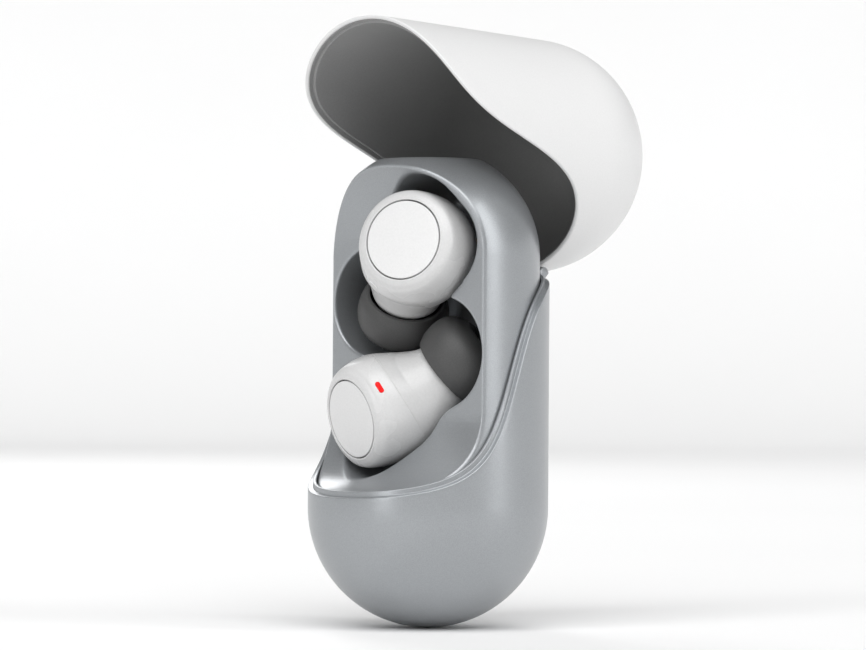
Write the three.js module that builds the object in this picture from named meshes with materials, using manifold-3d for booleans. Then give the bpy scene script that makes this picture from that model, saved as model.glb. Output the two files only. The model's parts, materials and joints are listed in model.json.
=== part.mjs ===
// Wireless earbuds case: an upright capsule whose white lid turns back on a rear hinge.
// A silver inner frame stands in the silver base and holds two earbuds.
// Millimetres, +Z up, hinge at +Y, open front at -Y. The origin is the centre of the base's round
// end, on the capsule's axis. The lid is modelled shut and then turned open about its pin.
import * as THREE from 'three';
import { mergeVertices } from 'three/addons/utils/BufferGeometryUtils.js';
import Module from 'manifold-3d';

const wasm = await Module();
wasm.setup();

// ---- Driving dimensions, millimetres -----------------------------------------------------------
const CASE_RADIUS = 18.75;
const CASE_WALL = 1.35;
const LID_DOME_HEIGHT = 38.9; // centre of the lid's dome
const TALL = 90; // longer than anything on the part, for cutters
const SEGMENTS = 32; // facets around the capsule
const DOME_STEPS = 7; // facets from equator to pole

// The rim between base and lid: height as a function of y alone, low in front and high behind
const RIM_MID = 19.1;
const RIM_SWING = 13.25;
const RIM_SPREAD = 4.9;
const RIM_SHIFT = -0.1;
const RIM_STEPS = 22;
const LIP_HEIGHT = 0.8; // the inner lip stands this far above the outer ledge
const LIP_OUTER = 17.9;
const RIM_GAP = 0.15; // lid edge to ledge when shut

const LID_INNER = 18.15;
const LINER_OUTER = 18.03;
const LINER_INNER = 17.63;
const LINER_SETBACK = 1.05; // liner edge above the rim curve, clear of the lip

const LINER_NOTCH = { x: 8, low: -2, high: 2.2 }; // clears the knuckles, heights from the pivot
const LID_MAGNET = { inner: 17.72, outer: 18.42, low: 4.2, high: 7.8, halfWidth: 4.5 };

const FRAME_RADIUS = 17.22;
const FRAME_WALL = 1.2;
const FRAME_BOTTOM = 0.5;
const FRAME_TOP = 54.2; // the dome is cut flat here
const FRONT_PLANE = -5.1; // the upright middle of the frame's front face
const FLARE = { y: -18, z: 15, reach: 12.9, drop: 12.4 }; // ellipse below the upright stretch
const HOOD = { y: -12, z: 40, rise: 13.3 }; // ellipse above it
const FACE_STEPS = 9; // facets in each of the two ellipses

const PIVOT = { y: 19.1, z: 36.75 };
const LID_ANGLE = 92; // degrees open at rest
const BARREL_RADIUS = 1.1;
const KNUCKLE_WEB = 5; // the web runs this far along the wall
const WEB_ROOT = { base: 17.75, lid: 18.3 }; // inside each wall
const PIN_RADIUS = 0.5;
const PIN_BORE = 0.6;
const PIN_LENGTH = 13.6;
const LID_KNUCKLE = 2.9; // half length of the lid's knuckle
const BASE_KNUCKLE = [3.2, 7.0]; // the base's knuckles run between these on each side
const KNUCKLE_RELIEF = 0.3;

const WELL = { x: 7.3, low: 24, high: 32, radius: 8.6, floor: 4, depth: 6 };
const POCKET = { x: 5.1, low: 13.6, high: 42.4, floor: 7.6 };
// The seat's outline, along and across the line from the seat to the well
const SEAT = { back: 8.3, far: 4.5, middle: 0.5, half: 9.4, corner: 7.5 };
const NECK = { outer: 7.6, inner: 9.9 }; // half widths, away from and towards the other earbud
const CUP_WALL = 1.0;

const PORT = { z: 3.85, face: 17.6, width: 12.4, height: 6.4, boss: 15.7, border: 1 };
const PORT_MOUTH = { width: 9.3, height: 3.6 };
const PLUG_BODY = { width: 8.9, height: 3.2, length: 7.0, wall: 0.35, tongue: 3.2 };
const BOARD = { radius: 15.3, low: 0.9, high: 1.9, front: -13.2 };
const BOARD_SCREW = {
  x: 11.2, y: 8.75, shank: 0.5, shankTop: 6, pilotTop: 7, head: 1.3, post: 2.3, postTop: 12,
};
const FRAME_NOTCH = { x: 7.9, y: 15.2, top: 8.65 }; // in the frame's back wall, round the port
const BATTERY = { size: [18, 18, 9.6], corner: 3, low: -11.6 };
const BASE_MAGNET = [[-4, -15.9, -3], [4, -14.4, -0.5]]; // lowest and highest corners
const PAD = { size: [14, 14, 0.9], corner: 2, low: -1.6 };

// Each earbud is a revolved form whose spine bends from the touch face to the nozzle
const EAR_SEGMENTS = 20;
const BEND = THREE.MathUtils.degToRad(51);
const BEND_START = 0.8;
const BEND_END = 13.8;
const SPINE_SCALE = 0.945; // millimetres of spine for each unit of a profile's length
const SPINE_SIDE = { reach: 1.5, start: 2, end: 16 }; // the nozzle also stands off to one side
// How far the body stands out past a round one: a flank of the neck, and a shoulder behind the face
const FLANK = { reach: 0.9, rise: [3, 11], fall: [12.2, 17.2] };
const SHOULDER = { reach: 0.9, turn: -2.4, rise: [1.5, 5], fall: [8, 13] };
const EAR_WALL = 1.0;
const SEAM = 9.4; // front cover to rear housing, along the spine
const SEAM_GAP = 0.3;
const DISK_RADIUS = 6.15;
const DISK_RECESS = 0.7;
const NOZZLE = { radius: 2.6, bore: 1.75, start: 20.4, end: 24.4 };
const TIP = { rim: 18.2, end: 26.6, radius: 7.2, wall: 0.85, bore: 2.75 };
const LED = { s: 3.5, turn: 0.12, length: 2, width: 0.8, depth: 0.6, gap: 0.15 };
const SPEAKER = { low: 14.2, step: 15.3, high: 16.9, magnet: 3.2, rim: 4.0 };
const BUD_BOARD = { radius: 5.2, low: 1.6, high: 2.2 };
const BUD_CELL = { radius: 5.6, low: 2.6, high: 7.2 };
const BUD_MAGNET = { radius: 1.4, thickness: 1.2, depth: 2.9 };
const CONTACT = { s: 12.2, spacing: 2.3, radius: 0.8, thickness: 0.35, gap: 0.2 };

// Where each touch face sits, which way the body runs from it and which way the tip points
const EARBUDS = [
  {
    side: 'left',
    face: [-6.03, -11.07, 13.6],
    inward: [0.2177, 0.9526, 0.2131],
    tip: [0.658, 0.441, 0.608],
  },
  {
    side: 'right',
    face: [4.95, -11.07, 41.3],
    inward: [-0.3076, 0.9374, -0.151],
    tip: [-0.5507, 0.337, -0.755],
  },
];

// ---- Materials ---------------------------------------------------------------------------------
const finish = (color, roughness, metalness) => ({ color, roughness, metalness });
const FINISH = {
  silver: finish(0xa9adb1, 0.42, 0.35),
  white: finish(0xececec, 0.3, 0),
  lining: finish(0x4c4c4c, 0.6, 0),
  silicone: finish(0x3f3f3f, 0.65, 0),
  lightRed: finish(0xe01010, 0.2, 0),
  steel: finish(0xb8b8b8, 0.25, 1),
  gold: finish(0xd8b060, 0.25, 1),
  magnet: finish(0x9a9a9a, 0.35, 1),
  cell: finish(0x8fa3b5, 0.4, 0.4),
  board: finish(0x14512f, 0.5, 0),
  chip: finish(0x191919, 0.5, 0),
  foam: finish(0x202020, 0.95, 0),
  coil: finish(0x303236, 0.45, 0.3),
};

// ---- Solids ------------------------------------------------------------------------------------
/** A closed three.js geometry as a manifold solid, faces outward. */
function solid(geometry) {
  const bare = geometry.clone();
  bare.deleteAttribute('normal');
  bare.deleteAttribute('uv');
  const merged = mergeVertices(bare, 1e-4);
  const position = merged.attributes.position;
  const kept = [];
  let volume = 0;
  const [a, b, c] = [new THREE.Vector3(), new THREE.Vector3(), new THREE.Vector3()];
  for (let i = 0; i < merged.index.count; i += 3) {
    const corner = [0, 1, 2].map((k) => merged.index.getX(i + k));
    if (new Set(corner).size < 3) continue;
    kept.push(...corner);
    [a, b, c].forEach((v, k) => v.fromBufferAttribute(position, corner[k]));
    volume += a.dot(b.cross(c));
  }
  if (volume < 0) kept.reverse();
  return new wasm.Manifold(
    new wasm.Mesh({
      numProp: 3,
      vertProperties: new Float32Array(position.array),
      triVerts: new Uint32Array(kept),
    }),
  );
}

/** A manifold solid as a three.js geometry. */
function geometryOf(body) {
  const mesh = body.getMesh();
  const geometry = new THREE.BufferGeometry();
  geometry.setAttribute('position', new THREE.BufferAttribute(mesh.vertProperties, 3));
  geometry.setIndex(new THREE.BufferAttribute(mesh.triVerts, 1));
  geometry.computeVertexNormals();
  return geometry;
}

/** Points [radius, height] turned about +Z. */
function revolve(points, segments = SEGMENTS) {
  const profile = points.map(([r, h]) => new THREE.Vector2(r, h));
  return solid(new THREE.LatheGeometry(profile, segments).rotateX(Math.PI / 2));
}

/** A quarter circle of profile points from one angle to another, in degrees above the equator. */
function arc(radius, height, from, to, steps = DOME_STEPS) {
  const points = [];
  for (let i = 0; i <= steps; i += 1) {
    const angle = THREE.MathUtils.degToRad(from + ((to - from) * i) / steps);
    points.push([radius * Math.cos(angle), height + radius * Math.sin(angle)]);
  }
  return points;
}

/** A ring about the Z axis with a rectangular section. */
function ring(inner, outer, low, high) {
  return revolve([[inner, low], [outer, low], [outer, high], [inner, high], [inner, low]]);
}

/** A shape drawn in y and z, extruded along X between two places. */
function prismX(shape, from, to) {
  const geometry = new THREE.ExtrudeGeometry(shape, { depth: to - from, bevelEnabled: false });
  const turn = new THREE.Matrix4().set(0, 0, 1, from, 1, 0, 0, 0, 0, 1, 0, 0, 0, 0, 0, 1);
  return solid(geometry.applyMatrix4(turn));
}

/** A shape drawn in x and z, extruded along Y between two places. */
function prismY(shape, from, to) {
  const geometry = new THREE.ExtrudeGeometry(shape, { depth: to - from, bevelEnabled: false });
  const turn = new THREE.Matrix4().set(1, 0, 0, 0, 0, 0, -1, to, 0, 1, 0, 0, 0, 0, 0, 1);
  return solid(geometry.applyMatrix4(turn));
}

/** A box between two opposite corners. */
function block(low, high) {
  const size = high.map((value, i) => value - low[i]);
  const centre = high.map((value, i) => (value + low[i]) / 2);
  return solid(new THREE.BoxGeometry(...size).translate(...centre));
}

/** A round rod along an axis named 'x', 'y' or 'z', from one place on it to another. */
function rod(axis, radius, from, to, [u, v], segments = 16) {
  const geometry = new THREE.CylinderGeometry(radius, radius, to - from, segments);
  const middle = (from + to) / 2;
  if (axis === 'x') geometry.rotateZ(Math.PI / 2).translate(middle, u, v);
  if (axis === 'y') geometry.translate(u, middle, v);
  if (axis === 'z') geometry.rotateX(Math.PI / 2).translate(u, v, middle);
  return solid(geometry);
}

/** A race-track outline, longer along its first axis. */
function raceTrack(width, height, centreV = 0) {
  const radius = height / 2;
  const straight = width / 2 - radius;
  const shape = new THREE.Shape();
  shape.absarc(straight, centreV, radius, -Math.PI / 2, Math.PI / 2, false);
  shape.absarc(-straight, centreV, radius, Math.PI / 2, (3 * Math.PI) / 2, false);
  return shape;
}

const join = (...parts) => parts.reduce((whole, part) => whole.add(part));
const cut = (body, ...tools) => tools.reduce((rest, tool) => rest.subtract(tool), body);

// ---- The rim curve -----------------------------------------------------------------------------
const rimHeight = (y) => RIM_MID + RIM_SWING * Math.atan((y - RIM_SHIFT) / RIM_SPREAD);

function rimSlope(y) {
  const u = (y - RIM_SHIFT) / RIM_SPREAD;
  return RIM_SWING / RIM_SPREAD / (1 + u * u);
}

/** Everything above the rim curve moved along its normal by an offset. */
function aboveRim(offset) {
  const shape = new THREE.Shape();
  const reach = CASE_RADIUS + 3;
  for (let i = 0; i <= RIM_STEPS; i += 1) {
    const t = (2 * i) / RIM_STEPS - 1;
    const y = reach * (0.45 * t + 0.55 * t ** 3); // closer together where the curve is steep
    const slope = rimSlope(y);
    const length = Math.hypot(1, slope);
    const point = [y - (offset * slope) / length, rimHeight(y) + offset / length];
    if (i === 0) shape.moveTo(...point);
    else shape.lineTo(...point);
  }
  shape.lineTo(reach + 3, TALL);
  shape.lineTo(-reach - 3, TALL);
  return prismX(shape, -CASE_RADIUS - 2, CASE_RADIUS + 2);
}

// ---- Base --------------------------------------------------------------------------------------
/** A hinge knuckle seen along X: a round barrel with a web that runs into the wall. */
function knuckle(direction, from, to) {
  const shape = new THREE.Shape();
  const root = direction < 0 ? WEB_ROOT.base : WEB_ROOT.lid;
  shape.moveTo(root, PIVOT.z + direction * KNUCKLE_WEB);
  shape.lineTo(PIVOT.y + BARREL_RADIUS, PIVOT.z);
  shape.absarc(PIVOT.y, PIVOT.z, BARREL_RADIUS, 0, direction < 0 ? Math.PI : -Math.PI, direction > 0);
  return prismX(shape, from, to);
}

function pinBore() {
  return rod('x', PIN_BORE, -TALL / 2, TALL / 2, [PIVOT.y, PIVOT.z]);
}

function hingePin() {
  return rod('x', PIN_RADIUS, -PIN_LENGTH / 2, PIN_LENGTH / 2, [PIVOT.y, PIVOT.z]);
}

/** Room for the other half's knuckle, out to a half length on each side. */
function relief(halfLength) {
  const reach = halfLength + KNUCKLE_RELIEF;
  return rod('x', BARREL_RADIUS + KNUCKLE_RELIEF, -reach, reach, [PIVOT.y, PIVOT.z]);
}

function baseKnuckles() {
  const [near, far] = BASE_KNUCKLE;
  return join(knuckle(-1, near, far), knuckle(-1, -far, -near));
}

/** The plug seat: a race-track recess with a flat floor round the port's mouth. */
function portCutters() {
  const seat = raceTrack(PORT.width, PORT.height, PORT.z);
  const mouth = raceTrack(PORT_MOUTH.width, PORT_MOUTH.height, PORT.z);
  return [prismY(seat, PORT.face, CASE_RADIUS + 1), prismY(mouth, PORT.boss - 1, PORT.face + 1)];
}

/** Thickens the wall behind the plug seat. */
function portBoss() {
  const { width, height, border } = PORT;
  const boss = prismY(raceTrack(width + 2 * border, height + 2 * border, PORT.z), PORT.boss, CASE_RADIUS);
  return boss.intersect(rod('z', CASE_RADIUS - CASE_WALL / 2, -TALL, TALL, [0, 0], SEGMENTS));
}

function outerShell() {
  const inner = CASE_RADIUS - CASE_WALL;
  const top = PIVOT.z + 5;
  const shell = revolve([
    ...arc(CASE_RADIUS, 0, -90, 0),
    [CASE_RADIUS, top],
    [inner, top],
    ...arc(inner, 0, 0, -90),
  ]);
  const outsideLip = ring(LIP_OUTER, TALL, -1, top + 1);
  const wall = cut(shell, aboveRim(LIP_HEIGHT), outsideLip.intersect(aboveRim(0)));
  const whole = join(wall, portBoss(), baseKnuckles());
  return cut(whole, ...portCutters(), pinBore(), relief(LID_KNUCKLE));
}

// ---- Lid (shut) --------------------------------------------------------------------------------
function domedSkin(outer, inner) {
  return revolve([
    [outer, -5],
    ...arc(outer, LID_DOME_HEIGHT, 0, 90),
    ...arc(inner, LID_DOME_HEIGHT, 90, 0),
    [inner, -5],
    [outer, -5],
  ]);
}

/** Everything below the rim curve moved along its normal by an offset. */
function belowRim(offset) {
  const everything = block([-TALL, -TALL, -TALL], [TALL, TALL, TALL - 1]);
  return everything.subtract(aboveRim(offset));
}

/** The curved slot that holds the lid's magnet, or the magnet itself when shrunk by a gap. */
function lidMagnetShape(gap) {
  const { inner, outer, low, high, halfWidth } = LID_MAGNET;
  const band = ring(inner + gap, outer - gap, low + gap, high - gap);
  return band.intersect(block([gap - halfWidth, -TALL, -TALL], [halfWidth - gap, 0, TALL]));
}

function lidShell() {
  const skin = cut(domedSkin(CASE_RADIUS, LID_INNER), belowRim(RIM_GAP));
  const [, far] = BASE_KNUCKLE;
  const cleared = cut(skin, relief(far));
  const hinged = cleared.add(knuckle(1, -LID_KNUCKLE, LID_KNUCKLE));
  return cut(hinged, pinBore(), lidMagnetShape(0));
}

function lidLiner() {
  const skin = cut(domedSkin(LINER_OUTER, LINER_INNER), belowRim(LINER_SETBACK));
  const { x, low, high } = LINER_NOTCH;
  const notch = block([-x, LINER_INNER - 1, PIVOT.z + low], [x, LINER_OUTER + 1, PIVOT.z + high]);
  return cut(skin, lidMagnetShape(0), notch);
}

// ---- Inner frame -------------------------------------------------------------------------------
/** The space in front of the frame's front face, grown backwards by an offset. */
function frontSpace(offset) {
  const shape = new THREE.Shape();
  const plane = FRONT_PLANE + offset;
  const far = -CASE_RADIUS - 10;
  shape.moveTo(far, FLARE.z - FLARE.drop - offset);
  shape.lineTo(FLARE.y, FLARE.z - FLARE.drop - offset);
  for (let i = 1; i <= FACE_STEPS; i += 1) {
    const angle = ((Math.PI / 2) * i) / FACE_STEPS;
    const y = FLARE.y + (FLARE.reach + offset) * Math.sin(angle);
    shape.lineTo(y, FLARE.z - (FLARE.drop + offset) * Math.cos(angle));
  }
  for (let i = 0; i <= FACE_STEPS; i += 1) {
    const angle = ((Math.PI / 2) * i) / FACE_STEPS;
    const y = HOOD.y + (plane - HOOD.y) * Math.cos(angle);
    shape.lineTo(y, HOOD.z + (HOOD.rise + offset) * Math.sin(angle));
  }
  shape.lineTo(far, HOOD.z + HOOD.rise + offset);
  return prismX(shape, -CASE_RADIUS - 2, CASE_RADIUS + 2);
}

/** A round hole with a domed bottom, along Y, open to the front. */
function well(x, z, grow) {
  const radius = WELL.radius + grow;
  const depth = WELL.depth + grow;
  const profile = [[0, -TALL / 2], [radius, -TALL / 2]];
  for (let i = 0; i <= 5; i += 1) {
    const angle = ((Math.PI / 2) * i) / 5;
    profile.push([radius * Math.cos(angle), WELL.floor + depth * Math.sin(angle)]);
  }
  const points = profile.map(([r, h]) => new THREE.Vector2(r, h));
  return solid(new THREE.LatheGeometry(points, 24).translate(x, 0, z));
}

/** One earbud's pocket: a round seat for the body, a well for the tip and the neck between. */
function pocket(index, grow) {
  const flip = index === 0 ? -1 : 1;
  const seat = { x: flip * POCKET.x, z: index === 0 ? POCKET.low : POCKET.high };
  const hole = { x: -flip * WELL.x, z: index === 0 ? WELL.low : WELL.high };
  const [from, to] = [new THREE.Vector2(seat.x, seat.z), new THREE.Vector2(hole.x, hole.z)];
  const along = to.clone().sub(from).normalize();
  const across = new THREE.Vector2(-along.y, along.x);
  const at = (u, v) => from.clone().addScaledVector(along, u).addScaledVector(across, v);
  const reach = from.distanceTo(to);
  const [inner, outer] = [NECK.inner + grow, -NECK.outer - grow];
  const neck = new THREE.Shape([at(0, inner), at(reach, inner), at(reach, outer), at(0, outer)]);
  const seatShape = new THREE.Shape(seatOutline(grow).map(([u, v]) => at(u, v)));
  const shapes = [seatShape, neck].map((shape) => prismY(shape, -TALL / 2, POCKET.floor + grow));
  return join(...shapes, well(hole.x, hole.z, grow));
}

/** The seat's outline: a back with two round corners and a far end that is a half circle. */
function seatOutline(grow) {
  const { back, far, middle, half, corner } = SEAT;
  const [width, radius] = [half + grow, corner + grow];
  const arcs = [
    [far, middle, width, -90, 90, 14],
    [corner - back, middle + width - radius, radius, 90, 180, 6],
    [corner - back, middle - width + radius, radius, 180, 270, 6],
  ];
  return arcs.flatMap(([u, v, r, start, end, steps]) => Array.from({ length: steps + 1 }, (_, i) => {
    const angle = THREE.MathUtils.degToRad(start + ((end - start) * i) / steps);
    return [u + r * Math.cos(angle), v + r * Math.sin(angle)];
  }));
}

/** One round thing at each of the two board screws, along Z. */
function atScrews(radius, from, to, segments) {
  return [-1, 1].map((side) => {
    const centre = [side * BOARD_SCREW.x, BOARD_SCREW.y];
    return rod('z', radius, from, to, centre, segments);
  });
}

/** The frame's outer form, or its inner one when shrunk by a wall. */
function frameForm(wall, bottom) {
  const radius = FRAME_RADIUS - wall;
  const round = revolve([[0, bottom], [radius, bottom], ...arc(radius, LID_DOME_HEIGHT, 0, 90)]);
  const above = block([-TALL, -TALL, FRAME_TOP - wall], [TALL, TALL, TALL]);
  return cut(round, above, frontSpace(wall));
}

function innerFrame(pinHoles) {
  const pockets = [0, 1].map((index) => pocket(index, 0));
  const cups = [0, 1].map((index) => pocket(index, CUP_WALL));
  const posts = atScrews(BOARD_SCREW.post, BOARD.high + 0.3, BOARD_SCREW.postTop, 12);
  const hollow = cut(frameForm(FRAME_WALL, FRAME_BOTTOM - 1), ...cups, ...posts);
  const { x, y, top } = FRAME_NOTCH;
  const portNotch = block([-x, y, -1], [x, TALL, top]);
  const pilots = atScrews(BOARD_SCREW.shank + 0.1, 0, BOARD_SCREW.pilotTop, 10);
  return cut(frameForm(0, FRAME_BOTTOM), hollow, ...pockets, portNotch, ...pilots, ...pinHoles);
}

// ---- Power and control parts in the base -------------------------------------------------------
function caseBoard() {
  const disc = rod('z', BOARD.radius, BOARD.low, BOARD.high, [0, 0], 28);
  const holes = atScrews(BOARD_SCREW.shank + 0.3, BOARD.low - 1, BOARD.high + 1, 10);
  const ahead = block([-TALL, -TALL, BOARD.low - 1], [TALL, BOARD.front, BOARD.high + 1]);
  return cut(disc, ahead, ...holes);
}

/** The two slotted screws that hold the board up against the frame's posts. */
function boardScrews() {
  const { x, y, head, shank, shankTop } = BOARD_SCREW;
  const headTop = BOARD.low - 0.2;
  const heads = atScrews(head, headTop - 0.8, headTop, 12);
  const shanks = atScrews(shank, headTop - 0.4, shankTop, 8);
  return [-1, 1].map((side, i) => {
    const low = [side * x - 2, y - 0.15, headTop - 1];
    const slot = block(low, [side * x + 2, y + 0.15, headTop - 0.5]);
    return cut(heads[i].add(shanks[i]), slot);
  });
}

/** A chip above the board, between two corners in x and y. */
function onBoard(low, high, gap, thickness) {
  const floor = BOARD.high + gap;
  return block([...low, floor], [...high, floor + thickness]);
}

/** A slab standing on a height, with its upright corners rounded. */
function slab({ size: [width, depth, height], corner, low }) {
  const shape = new THREE.Shape();
  const [x, y] = [width / 2 - corner, depth / 2 - corner];
  shape.absarc(x, y, corner, 0, Math.PI / 2, false);
  shape.absarc(-x, y, corner, Math.PI / 2, Math.PI, false);
  shape.absarc(-x, -y, corner, Math.PI, 1.5 * Math.PI, false);
  shape.absarc(x, -y, corner, 1.5 * Math.PI, 2 * Math.PI, false);
  const options = { depth: height, bevelEnabled: false, curveSegments: 3 };
  return solid(new THREE.ExtrudeGeometry(shape, options).translate(0, 0, low));
}

function usbConnector() {
  const { width, height, length, wall, tongue } = PLUG_BODY;
  const front = PORT.face - 0.4;
  const back = front - length;
  const tube = prismY(raceTrack(width, height, PORT.z), back, front);
  const inside = raceTrack(width - 2 * wall, height - 2 * wall, PORT.z);
  const blade = block([-tongue, back + 0.5, PORT.z - wall], [tongue, front - 0.8, PORT.z + wall]);
  return cut(tube, prismY(inside, back + 1, front + 1)).add(blade);
}

// ---- Earbuds -----------------------------------------------------------------------------------
// In an earbud's own frame the touch face is at the origin, the spine starts along +Z and the
// nozzle bends towards +X.
const eased = (value, start, end) => THREE.MathUtils.smoothstep(value, start, end);

const spineAngle = (s) => (
  BEND * THREE.MathUtils.clamp((s - BEND_START) / (BEND_END - BEND_START), 0, 1)
);

/** The spine's point at a distance along it from the touch face. */
function spinePoint(s) {
  const steps = 48;
  const step = (SPINE_SCALE * s) / steps;
  let [x, z] = [0, 0];
  for (let i = 0; i < steps; i += 1) {
    const angle = spineAngle(((i + 0.5) * s) / steps);
    x += Math.sin(angle) * step;
    z += Math.cos(angle) * step;
  }
  const { reach, start, end } = SPINE_SIDE;
  return [x, reach * eased(s, start, end), z];
}

/** How far the body stands out past a round one, at a distance along the spine and a turn about it. */
function fullness(s, turn) {
  const [flank, shoulder] = [FLANK, SHOULDER].map(({ reach, rise, fall }) => (
    reach * eased(s, ...rise) * (1 - eased(s, ...fall))
  ));
  const facing = Math.max(0, Math.cos(turn - SHOULDER.turn)) ** 1.5;
  return flank * (0.5 - 0.5 * Math.sin(turn)) + shoulder * facing;
}

/** Carries a geometry built straight along +Z onto the bent spine, made fuller where the body is. */
function bend(geometry, full) {
  const position = geometry.attributes.position;
  for (let i = 0; i < position.count; i += 1) {
    const s = position.getZ(i);
    const turn = Math.atan2(position.getY(i), position.getX(i));
    const radius = Math.hypot(position.getX(i), position.getY(i));
    const wide = radius + (full && radius > 0.01 ? fullness(s, turn) : 0);
    const angle = spineAngle(s);
    const [x, y, z] = spinePoint(s);
    const across = wide * Math.cos(turn);
    const lift = wide * Math.sin(turn);
    position.setXYZ(i, x + across * Math.cos(angle), y + lift, z - across * Math.sin(angle));
  }
  return geometry;
}

/** Points [radius, distance along the spine] turned about the spine. */
function revolveBent(points, { segments = EAR_SEGMENTS, full = false } = {}) {
  const profile = points.map(([r, s]) => new THREE.Vector2(r, s));
  return solid(bend(new THREE.LatheGeometry(profile, segments).rotateX(Math.PI / 2), full));
}

// Radius of the white body at distances along the spine
const BODY = [
  [6.4, 0], [7.4, 0.45], [8.0, 1.3], [8.4, 3], [8.55, 5.2], [8.4, 7.6],
  [8.0, 9.6], [7.4, 11.8], [6.7, 14], [5.9, 16.4], [5.2, 18.4], [4.2, 19.6],
];

function bodyRadius(s) {
  const next = BODY.findIndex(([, at]) => at >= s);
  const [r1, s1] = BODY[next];
  const [r0, s0] = BODY[Math.max(next - 1, 0)];
  return s1 === s0 ? r1 : THREE.MathUtils.lerp(r0, r1, (s - s0) / (s1 - s0));
}

/** A direction and place in an earbud's frame for something set in its skin. */
function skinFrame(s, turn, sink) {
  const angle = spineAngle(s);
  const out = new THREE.Vector3(Math.cos(turn), Math.sin(turn), 0);
  out.applyAxisAngle(new THREE.Vector3(0, 1, 0), angle);
  const radius = bodyRadius(s) + fullness(s, turn) - sink;
  const place = new THREE.Vector3(...spinePoint(s)).addScaledVector(out, radius);
  return { place, out };
}

function frontCover() {
  const end = SEAM - SEAM_GAP;
  const outline = BODY.filter(([, s]) => s < end);
  const inside = outline.filter(([, s]) => s > 2 * EAR_WALL).reverse();
  const floor = DISK_RECESS + 0.55;
  const shell = revolveBent([
    [0, 0],
    ...outline,
    [bodyRadius(end), end],
    [bodyRadius(end) - EAR_WALL, end],
    ...inside.map(([r, s]) => [r - EAR_WALL, s]),
    [DISK_RADIUS - 0.55, floor],
    [0, floor],
  ], { full: true });
  return cut(shell, disc(DISK_RADIUS + 0.2, -1, DISK_RECESS), ledShape(LED.gap));
}

/** The touch face's slightly crowned disk, which fills the recess. */
function touchDisk() {
  const back = DISK_RECESS - 0.15;
  const crown = [[0, -0.12], [3.4, -0.07], [5.9, 0.02], [DISK_RADIUS, 0.18]];
  return revolveBent([...crown, [DISK_RADIUS, back], [0, back]]);
}

/** The status light's window, a race track set across the front cover. */
function ledShape(grow) {
  const { place, out } = skinFrame(LED.s, LED.turn, LED.depth);
  const options = { depth: LED.depth + (grow > 0 ? 2 : 0.02), bevelEnabled: false, curveSegments: 4 };
  const outline = raceTrack(LED.length + 2 * grow, LED.width + 2 * grow);
  const geometry = new THREE.ExtrudeGeometry(outline, options);
  if (grow > 0) geometry.translate(0, 0, -grow);
  const side = new THREE.Vector3(0, 1, 0);
  const basis = new THREE.Matrix4().makeBasis(side, new THREE.Vector3().crossVectors(out, side), out);
  return solid(geometry.applyMatrix4(basis.setPosition(place)));
}

function rearHousing() {
  const outline = BODY.filter(([, s]) => s > SEAM);
  const bore = NOZZLE.bore;
  const inside = outline.filter(([r, s]) => r > 5.5 && s < 17).reverse();
  const shell = revolveBent([
    [bodyRadius(SEAM), SEAM],
    ...outline,
    [NOZZLE.radius + 0.4, NOZZLE.start],
    [NOZZLE.radius, NOZZLE.start + 0.5],
    [NOZZLE.radius, NOZZLE.end],
    [bore, NOZZLE.end],
    [bore, 19],
    [4.2, 17.6],
    ...inside.map(([r, s]) => [r - EAR_WALL, s]),
    [bodyRadius(SEAM) - EAR_WALL, SEAM],
    [bodyRadius(SEAM), SEAM],
  ], { full: true });
  return cut(shell, contactShape(-1, CONTACT.gap), contactShape(1, CONTACT.gap));
}

/** A charge contact let into the outside of the bend. */
function contactShape(side, grow) {
  const turn = Math.PI + (side * CONTACT.spacing) / bodyRadius(CONTACT.s);
  const depth = CONTACT.thickness + (grow > 0 ? 0.15 : 0);
  const { place, out } = skinFrame(CONTACT.s, turn, depth);
  const length = depth + (grow > 0 ? 2 : 0);
  const geometry = new THREE.CylinderGeometry(CONTACT.radius + grow, CONTACT.radius + grow, length, 12);
  geometry.translate(0, length / 2, 0);
  const turnTo = new THREE.Quaternion().setFromUnitVectors(new THREE.Vector3(0, 1, 0), out);
  geometry.applyQuaternion(turnTo).translate(place.x, place.y, place.z);
  return solid(geometry);
}

function earTip() {
  const { rim, end, radius, wall, bore } = TIP;
  return revolveBent([
    [bore, 21.2],
    [3.4, 21.2],
    [3.6, 23.6],
    [4.9, 23.8],
    [radius - wall, 21.4],
    [5.75, rim + 0.2],
    [6, rim],
    [6.4, rim + 0.3],
    [6.95, 19.8],
    [radius, 21.4],
    [7.15, 23],
    [6.7, 24.4],
    [5.75, 25.5],
    [4.4, end - 0.4],
    [3.4, end],
    [2.6, end],
    [2.2, end - 0.5],
    [2.2, end - 0.8],
    [bore, 24.7],
    [bore, 21.2],
  ]);
}

/** A plain disc about the spine, which may lie in the bent stretch. */
function disc(radius, from, to, segments = EAR_SEGMENTS) {
  return revolveBent([[0, from], [radius, from], [radius, to], [0, to]], { segments });
}

function nozzleMesh() {
  const { bore, end } = NOZZLE;
  return disc(bore - 0.15, end - 0.6, end - 0.3, 14);
}

function speaker() {
  const { low, step, high, magnet, rim } = SPEAKER;
  const cone = [[rim, high - 0.3], [0.6 * rim, high], [0, high]];
  return revolveBent([[0, low], [magnet, low], [magnet, step], [rim, step], ...cone]);
}

/** A small retaining magnet behind the contacts. */
function budMagnet() {
  const { radius, thickness, depth } = BUD_MAGNET;
  const { place, out } = skinFrame(CONTACT.s, Math.PI, depth);
  const geometry = new THREE.CylinderGeometry(radius, radius, thickness, 14);
  const turnTo = new THREE.Quaternion().setFromUnitVectors(new THREE.Vector3(0, 1, 0), out);
  return solid(geometry.applyQuaternion(turnTo).translate(place.x, place.y, place.z));
}

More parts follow.
